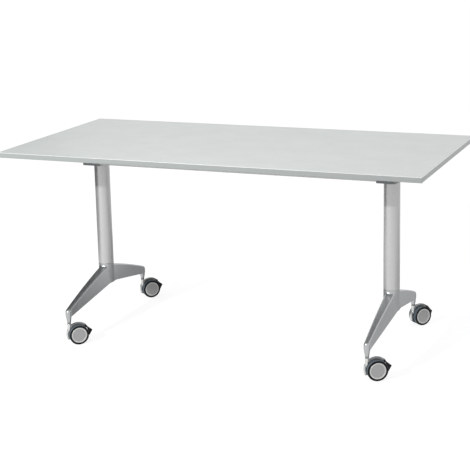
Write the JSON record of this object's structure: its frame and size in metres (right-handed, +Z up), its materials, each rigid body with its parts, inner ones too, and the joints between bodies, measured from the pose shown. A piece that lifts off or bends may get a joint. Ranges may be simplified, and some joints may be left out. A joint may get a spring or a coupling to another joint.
{
  "type": "flip top training table",
  "caption": "Rectangular training table with a tilting laminate top on two T-shaped legs with swivelling, braked twin-wheel castors; the top latches level or upright.",
  "frame": {"origin": "on the floor under the middle of the top", "axes": "+X along the length of the table, +Y from the front to the back, +Z up"},
  "size_m": [1.6, 0.8, 0.75],
  "materials": {
    "laminate": "light grey melamine laminate on chipboard, fine matt texture",
    "edge_band": "light grey plastic edge band, satin",
    "silver_paint": "silver powder coat, satin",
    "cast_aluminium": "die-cast aluminium, brushed and lacquered",
    "zinc_steel": "bright zinc plate",
    "grey_paint": "mid grey powder coat, matt",
    "black_plastic": "black moulded plastic, fine grain",
    "silver_plastic": "silver moulded plastic, satin",
    "wheel_plastic": "slate grey tread with a light grey cap"
  },
  "bodies": {
    "base": {"left_foot": "cast_aluminium", "left_foot_bolt": "zinc_steel", "left_column": "silver_paint", "left_column_plug": "zinc_steel", "left_column_head": "cast_aluminium", "left_lock_disc": "zinc_steel", "left_cross_cap": "black_plastic", "right_foot": "cast_aluminium", "right_foot_bolt": "zinc_steel", "right_column": "silver_paint", "right_column_plug": "zinc_steel", "right_column_head": "cast_aluminium", "right_lock_disc": "zinc_steel", "right_cross_cap": "black_plastic", "cross_tube": "silver_paint", "front_left_castor_stem": "zinc_steel", "back_left_castor_stem": "zinc_steel", "front_right_castor_stem": "zinc_steel", "back_right_castor_stem": "zinc_steel"},
    "top": {"top_panel": "laminate", "front_edge_band": "edge_band", "back_edge_band": "edge_band", "left_edge_band": "edge_band", "right_edge_band": "edge_band", "left_bracket": "grey_paint", "left_stop_pin": "zinc_steel", "left_inner_bush": "black_plastic", "left_outer_bush": "black_plastic", "right_bracket": "grey_paint", "right_stop_pin": "zinc_steel", "right_inner_bush": "black_plastic", "right_outer_bush": "black_plastic", "front_rail": "silver_paint", "rod_saddle": "black_plastic"},
    "latch": {"release_rod": "zinc_steel", "left_pawl": "grey_paint", "right_pawl": "grey_paint", "release_lever": "grey_paint", "lever_grip": "black_plastic"},
    "front_left_castor": {"front_left_castor_hood": "silver_plastic", "front_left_castor_axle": "zinc_steel"},
    "front_left_wheel_1": {"front_left_wheel_1": "wheel_plastic"},
    "front_left_wheel_2": {"front_left_wheel_2": "wheel_plastic"},
    "front_left_pedal": {"front_left_brake_pedal": "black_plastic"},
    "back_left_castor": {"back_left_castor_hood": "silver_plastic", "back_left_castor_axle": "zinc_steel"},
    "back_left_wheel_1": {"back_left_wheel_1": "wheel_plastic"},
    "back_left_wheel_2": {"back_left_wheel_2": "wheel_plastic"},
    "back_left_pedal": {"back_left_brake_pedal": "black_plastic"},
    "front_right_castor": {"front_right_castor_hood": "silver_plastic", "front_right_castor_axle": "zinc_steel"},
    "front_right_wheel_1": {"front_right_wheel_1": "wheel_plastic"},
    "front_right_wheel_2": {"front_right_wheel_2": "wheel_plastic"},
    "front_right_pedal": {"front_right_brake_pedal": "black_plastic"},
    "back_right_castor": {"back_right_castor_hood": "silver_plastic", "back_right_castor_axle": "zinc_steel"},
    "back_right_wheel_1": {"back_right_wheel_1": "wheel_plastic"},
    "back_right_wheel_2": {"back_right_wheel_2": "wheel_plastic"},
    "back_right_pedal": {"back_right_brake_pedal": "black_plastic"}
  },
  "joints": [
    {"name": "top_tilt", "type": "hinge", "parent": "base", "child": "top", "pos_m": [0, 0.01, 0.672], "axis": [-1, 0, 0], "range_deg": [0, 90]},
    {"name": "latch_turn", "type": "hinge", "parent": "top", "child": "latch", "pos_m": [0, -0.06, 0.702], "axis": [-1, 0, 0], "range_deg": [0, 8]},
    {"name": "front_left_swivel", "type": "hinge", "parent": "base", "child": "front_left_castor", "pos_m": [-0.588, -0.305, 0], "axis": [0, 0, 1], "continuous": true},
    {"name": "front_left_roll_1", "type": "hinge", "parent": "front_left_castor", "child": "front_left_wheel_1", "pos_m": [-0.5631, -0.28335, 0.0375], "axis": [-0.6561, 0.7547, 0], "continuous": true},
    {"name": "front_left_roll_2", "type": "hinge", "parent": "front_left_castor", "child": "front_left_wheel_2", "pos_m": [-0.5631, -0.28335, 0.0375], "axis": [-0.6561, 0.7547, 0], "continuous": true},
    {"name": "front_left_brake", "type": "hinge", "parent": "front_left_castor", "child": "front_left_pedal", "pos_m": [-0.54107, -0.26421, 0.06771], "axis": [-0.6561, 0.7547, 0], "range_deg": [0, 3]},
    {"name": "back_left_swivel", "type": "hinge", "parent": "base", "child": "back_left_castor", "pos_m": [-0.588, 0.325, 0], "axis": [0, 0, 1], "continuous": true},
    {"name": "back_left_roll_1", "type": "hinge", "parent": "back_left_castor", "child": "back_left_wheel_1", "pos_m": [-0.56508, 0.34874, 0.0375], "axis": [-0.7193, 0.6947, 0], "continuous": true},
    {"name": "back_left_roll_2", "type": "hinge", "parent": "back_left_castor", "child": "back_left_wheel_2", "pos_m": [-0.56508, 0.34874, 0.0375], "axis": [-0.7193, 0.6947, 0], "continuous": true},
    {"name": "back_left_brake", "type": "hinge", "parent": "back_left_castor", "child": "back_left_pedal", "pos_m": [-0.54481, 0.36973, 0.06771], "axis": [-0.7193, 0.6947, 0], "range_deg": [0, 3]},
    {"name": "front_right_swivel", "type": "hinge", "parent": "base", "child": "front_right_castor", "pos_m": [0.588, -0.305, 0], "axis": [0, 0, 1], "continuous": true},
    {"name": "front_right_roll_1", "type": "hinge", "parent": "front_right_castor", "child": "front_right_wheel_1", "pos_m": [0.61599, -0.28751, 0.0375], "axis": [-0.5299, 0.848, 0], "continuous": true},
    {"name": "front_right_roll_2", "type": "hinge", "parent": "front_right_castor", "child": "front_right_wheel_2", "pos_m": [0.61599, -0.28751, 0.0375], "axis": [-0.5299, 0.848, 0], "continuous": true},
    {"name": "front_right_brake", "type": "hinge", "parent": "front_right_castor", "child": "front_right_pedal", "pos_m": [0.64073, -0.27205, 0.06771], "axis": [-0.5299, 0.848, 0], "range_deg": [0, 3]},
    {"name": "back_right_swivel", "type": "hinge", "parent": "base", "child": "back_right_castor", "pos_m": [0.588, 0.325, 0], "axis": [0, 0, 1], "continuous": true},
    {"name": "back_right_roll_1", "type": "hinge", "parent": "back_right_castor", "child": "back_right_wheel_1", "pos_m": [0.60965, 0.34991, 0.0375], "axis": [-0.7547, 0.6561, 0], "continuous": true},
    {"name": "back_right_roll_2", "type": "hinge", "parent": "back_right_castor", "child": "back_right_wheel_2", "pos_m": [0.60965, 0.34991, 0.0375], "axis": [-0.7547, 0.6561, 0], "continuous": true},
    {"name": "back_right_brake", "type": "hinge", "parent": "back_right_castor", "child": "back_right_pedal", "pos_m": [0.62879, 0.37193, 0.06771], "axis": [-0.7547, 0.6561, 0], "range_deg": [0, 3]}
  ]
}
